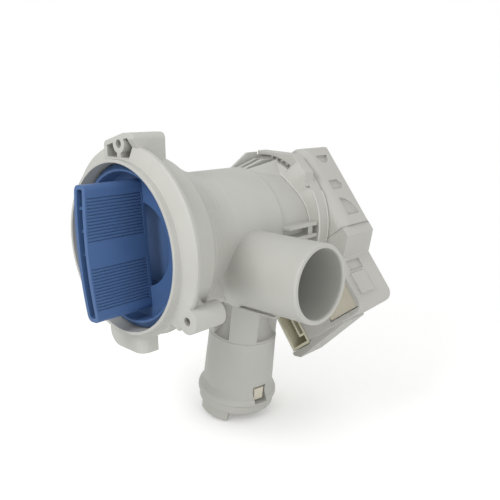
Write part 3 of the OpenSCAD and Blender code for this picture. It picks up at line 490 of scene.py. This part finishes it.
# Coil: enamelled copper wire on a beige spool, with a black thermal fuse laid on the turns.
# The outer layer is one wire wound round the spool's window, side by side from cheek to cheek.
def wire_tree(material):
    """Node tree that turns a path of edges into round wire."""
    tree = bpy.data.node_groups.new("wire_on_path", "GeometryNodeTree")
    tree.interface.new_socket("Geometry", in_out="INPUT", socket_type="NodeSocketGeometry")
    radius = tree.interface.new_socket("Wire Radius", in_out="INPUT", socket_type="NodeSocketFloat")
    tree.interface.new_socket("Geometry", in_out="OUTPUT", socket_type="NodeSocketGeometry")
    source = tree.nodes.new("NodeGroupInput")
    path = tree.nodes.new("GeometryNodeMeshToCurve")
    circle = tree.nodes.new("GeometryNodeCurvePrimitiveCircle")
    circle.inputs["Resolution"].default_value = 8
    sweep = tree.nodes.new("GeometryNodeCurveToMesh")
    sweep.inputs["Fill Caps"].default_value = True
    smooth = tree.nodes.new("GeometryNodeSetShadeSmooth")
    real = tree.nodes.new("GeometryNodeRealizeInstances")
    paint = tree.nodes.new("GeometryNodeSetMaterial")
    paint.inputs["Material"].default_value = material
    sink = tree.nodes.new("NodeGroupOutput")
    tree.links.new(source.outputs["Geometry"], path.inputs["Mesh"])
    tree.links.new(source.outputs["Wire Radius"], circle.inputs["Radius"])
    tree.links.new(path.outputs["Curve"], sweep.inputs["Curve"])
    tree.links.new(circle.outputs["Curve"], sweep.inputs["Profile Curve"])
    tree.links.new(sweep.outputs["Mesh"], smooth.inputs["Geometry"])
    tree.links.new(smooth.outputs["Geometry"], real.inputs["Geometry"])
    tree.links.new(real.outputs["Geometry"], paint.inputs["Geometry"])
    tree.links.new(paint.outputs["Geometry"], sink.inputs["Geometry"])
    return tree, radius.identifier


def make_plain(piece):
    """Turns a piece with a node tree into a plain mesh under the same name."""
    bpy.context.view_layer.update()
    graph = bpy.context.evaluated_depsgraph_get()
    plain = bpy.data.meshes.new_from_object(piece.evaluated_get(graph))
    piece.modifiers.clear()
    piece.data = plain
    plain.name = piece.name


wire_copper = bare_metal(
    "enamelled_copper", base=(0.52, 0.185, 0.075), streak=(0.38, 0.115, 0.045), rough=0.34,
    along=(700, 700, 700))
motor_turn = Matrix.Rotation(math.radians(-37.0), 4, "Y")
coil_x, coil_y0, coil_y1, coil_z0, coil_z1 = 10.2, 96.0, 117.2, -60.6, -40.4
wire_r = 0.26
turns = 38
corner = 1.6
corner_steps = 4
mid_y, mid_z = (coil_y0 + coil_y1) / 2, (coil_z0 + coil_z1) / 2
half_y, half_z = (coil_y1 - coil_y0) / 2, (coil_z1 - coil_z0) / 2
loop = []
for quarter, (sy, sz) in enumerate(((1, 1), (-1, 1), (-1, -1), (1, -1))):
    for k in range(corner_steps + 1):
        a = math.radians(90 * quarter + 90 * k / corner_steps)
        loop.append((mid_y + sy * (half_y - corner) + corner * math.cos(a),
                     mid_z + sz * (half_z - corner) + corner * math.sin(a)))
path_points = []
for t in range(turns):
    for k, (y, z) in enumerate(loop):
        x = -coil_x + 2 * coil_x * (t + k / len(loop)) / turns
        path_points.append(motor_turn @ Vector((x / 1000, y / 1000, z / 1000)))
path_mesh = bpy.data.meshes.new("coil_turns")
path_mesh.from_pydata(path_points, [(i, i + 1) for i in range(len(path_points) - 1)], [])
coil_turns = bpy.data.objects.new("coil_turns", path_mesh)
bpy.context.scene.collection.objects.link(coil_turns)
wire_group, wire_radius_id = wire_tree(wire_copper)
wound = coil_turns.modifiers.new("wound", "NODES")
wound.node_group = wire_group
wound[wire_radius_id] = wire_r / 1000
make_plain(coil_turns)
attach(coil_turns, "pump")
coat("coil_winding", wire_copper)
coat("coil_bobbin", cage_beige)
fuse_black = rubber("fuse_case_black", base=(0.016, 0.016, 0.017), worn=(0.040, 0.040, 0.041), rough=0.50)
coat("thermal_fuse", fuse_black)


# Core screws: two steel screws through the stack into the flange's posts.
# Zinc-plated steel, bright along the drawn shank.
screw_zinc = bare_metal(
    "zinc_plated_steel", base=(0.60, 0.59, 0.55), streak=(0.46, 0.46, 0.44), rough=0.34,
    along=(900, 400, 900))
coat("core_screws", screw_zinc)


# Connector: beige socket at the motor's corner with two brass blades for the mains plug.
# Moulded with the coil's spool; its cream is a paler copy of the spool's beige, painted light that brightens
# the socket's shaded slot.
socket_cream_painted_light = moulded(
    "cream_polyamide_painted_light",
    base=(0.80, 0.77, 0.62), cloud=(0.77, 0.74, 0.58), edge=(0.84, 0.82, 0.72),
    rough=0.42, grain=0.0006, depth=0.00002, soft=0.0003)
coat("connector_socket", socket_cream_painted_light)
tab_brass = bare_metal(
    "terminal_brass", base=(0.66, 0.46, 0.17), streak=(0.52, 0.34, 0.11), rough=0.30,
    along=(900, 300, 900))
coat("terminal_tabs", tab_brass)


# Motor covers: upper shell over the poles and lower shell over the coil, snapped together.
# Off-white glass-filled plastic with shallow dimples in the upper one, and a slot and a pad in the lower.
coat("motor_cover", motor_white)
coat("coil_cover", motor_white)


# Joint tongue: the thin lip on the lower cover that slides inside the upper one and closes the joint.
# Same off-white plastic, moulded with the cover, seen only as a shallow line between the two shells.
def tongue_plan(inset):
    """Outline of the tongue along the motor's height, with the upper cover's round front corners."""
    side, rear, round_r = 32.95 - inset, 120.1 - inset, 5.35 - inset
    centre_x, centre_y, steps = 28.5, 104.0, 8
    half = []
    for k in range(steps + 1):
        a = math.radians(-90 + 90 * k / steps)
        half.append((min(centre_x + round_r * math.cos(a), side), centre_y + round_r * math.sin(a)))
    half.append((side, rear))
    return half + [(-x, y) for x, y in reversed(half)]


tongue_top, tongue_foot, tongue_wall = -24.9, -25.4, 0.8
tongue_mesh = bmesh.new()
tongue_rings = []
tongue_section = (
    (0.0, tongue_top), (0.0, tongue_foot), (tongue_wall, tongue_foot), (tongue_wall, tongue_top))
for inset, z in tongue_section:
    plan = [Vector((x / 1000, y / 1000, z / 1000)) for x, y in tongue_plan(inset)]
    tongue_rings.append([tongue_mesh.verts.new(motor_turn @ point) for point in plan])
for here, there in zip(tongue_rings, tongue_rings[1:] + tongue_rings[:1]):
    for k in range(len(here)):
        n = (k + 1) % len(here)
        tongue_mesh.faces.new((here[k], here[n], there[n], there[k]))
cover_tongue = linked("cover_tongue", tongue_mesh, smooth=False)
cover_tongue.data.materials.append(motor_white)
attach(cover_tongue, "pump")


# Stage: pale paper floor under the spigot, white light all round, a small key light and a wide fill.
# The camera stands where the photograph was taken, an eighth of a turn to the right and a little above.
def studio_white(name, solid, gone):
    """Matt white paper that glows a little to the camera alone and fades out between two distances."""
    mat, tree, shader, where = new_finish(name)
    shader.inputs["Roughness"].default_value = 0.9
    shader.inputs["Specular IOR Level"].default_value = 0.1
    shader.inputs["Emission Color"].default_value = (1.0, 1.0, 1.0, 1)
    direct = tree.nodes.new("ShaderNodeLightPath")
    glow = tree.nodes.new("ShaderNodeMath")
    glow.operation = "MULTIPLY"
    glow.inputs[1].default_value = 0.19
    tree.links.new(direct.outputs["Is Camera Ray"], glow.inputs[0])
    tree.links.new(glow.outputs["Value"], shader.inputs["Emission Strength"])
    mottle = noise(tree, where, scale=6.0, detail=2.0)
    grey, white = (0.93, 0.93, 0.925), (0.95, 0.95, 0.948)
    tree.links.new(two_tone(tree, mottle, (0.0, grey), (1.0, white)), shader.inputs["Base Color"])
    far = tree.nodes.new("ShaderNodeVectorMath")
    far.operation = "LENGTH"
    tree.links.new(where, far.inputs[0])
    fade = tree.nodes.new("ShaderNodeMapRange")
    fade.interpolation_type = "SMOOTHSTEP"
    fade.inputs["From Min"].default_value = solid
    fade.inputs["From Max"].default_value = gone
    fade.inputs["To Min"].default_value = 1.0
    fade.inputs["To Max"].default_value = 0.0
    tree.links.new(far.outputs["Value"], fade.inputs["Value"])
    tree.links.new(fade.outputs["Result"], shader.inputs["Alpha"])
    return mat


floor_half, floor_gap = 6, 0.0006
floor_z = cad_box[0].z - floor_gap
floor_signs = ((-1, -1), (1, -1), (1, 1), (-1, 1))
floor_corners = [(floor_half * sx, floor_half * sy, floor_z) for sx, sy in floor_signs]
floor_mesh = bpy.data.meshes.new("floor")
floor_mesh.from_pydata(floor_corners, [], [(0, 1, 2, 3)])
floor = bpy.data.objects.new("floor", floor_mesh)
floor.data.materials.append(studio_white("floor_paper", solid=0.16, gone=0.42))
bpy.context.scene.collection.objects.link(floor)

room = bpy.data.worlds.new("studio")
bpy.context.scene.world = room
room.use_nodes = True
air = room.node_tree
walls = air.nodes["Background"]
walls.inputs["Color"].default_value = (1.0, 1.0, 0.995, 1)
walls.inputs["Strength"].default_value = 0.84
paper = air.nodes.new("ShaderNodeBackground")
paper.inputs["Color"].default_value = (1.0, 1.0, 1.0, 1)
seen = air.nodes.new("ShaderNodeLightPath")
either = air.nodes.new("ShaderNodeMixShader")
air.links.new(seen.outputs["Is Camera Ray"], either.inputs[0])
air.links.new(walls.outputs["Background"], either.inputs[1])
air.links.new(paper.outputs["Background"], either.inputs[2])
air.links.new(either.outputs["Shader"], air.nodes["World Output"].inputs["Surface"])


def soft_light(name, place, size, watts):
    """Square soft light that faces the pump and doesn't show itself."""
    lamp = bpy.data.lights.new(name, "AREA")
    lamp.size = size
    lamp.energy = watts
    holder = bpy.data.objects.new(name, lamp)
    holder.location = place
    pump_middle = Vector((0.0, 0.05, -0.01))
    aim = pump_middle - Vector(place)
    holder.rotation_euler = aim.to_track_quat("-Z", "Y").to_euler()
    holder.visible_camera = False
    bpy.context.scene.collection.objects.link(holder)


soft_light("key_light", place=(0.04, -0.24, 0.22), size=0.12, watts=0.52)
soft_light("fill_light", place=(0.62, -0.10, 0.02), size=0.4, watts=0.85)

azimuth, elevation, roll = (math.radians(v) for v in (43.62, 13.45, -0.41))
camera_place = (0.20229, -0.13458, 0.05584)
level = math.cos(elevation)
back = Vector((math.sin(azimuth) * level, -math.cos(azimuth) * level, math.sin(elevation)))
right = Vector((math.cos(azimuth), math.sin(azimuth), 0))
up = back.cross(right)
side = math.cos(roll) * right + math.sin(roll) * up
top = -math.sin(roll) * right + math.cos(roll) * up
lens = bpy.data.cameras.new("camera")
lens.lens = 43.2
lens.sensor_width = 36.0
lens.clip_start = 0.01
lens.clip_end = 50.0
camera = bpy.data.objects.new("camera", lens)
camera_rows = [(side[i], top[i], back[i], camera_place[i]) for i in range(3)]
camera.matrix_world = Matrix((*camera_rows, (0, 0, 0, 1)))
bpy.context.scene.collection.objects.link(camera)
bpy.context.scene.camera = camera
bpy.context.scene.view_settings.view_transform = "Standard"
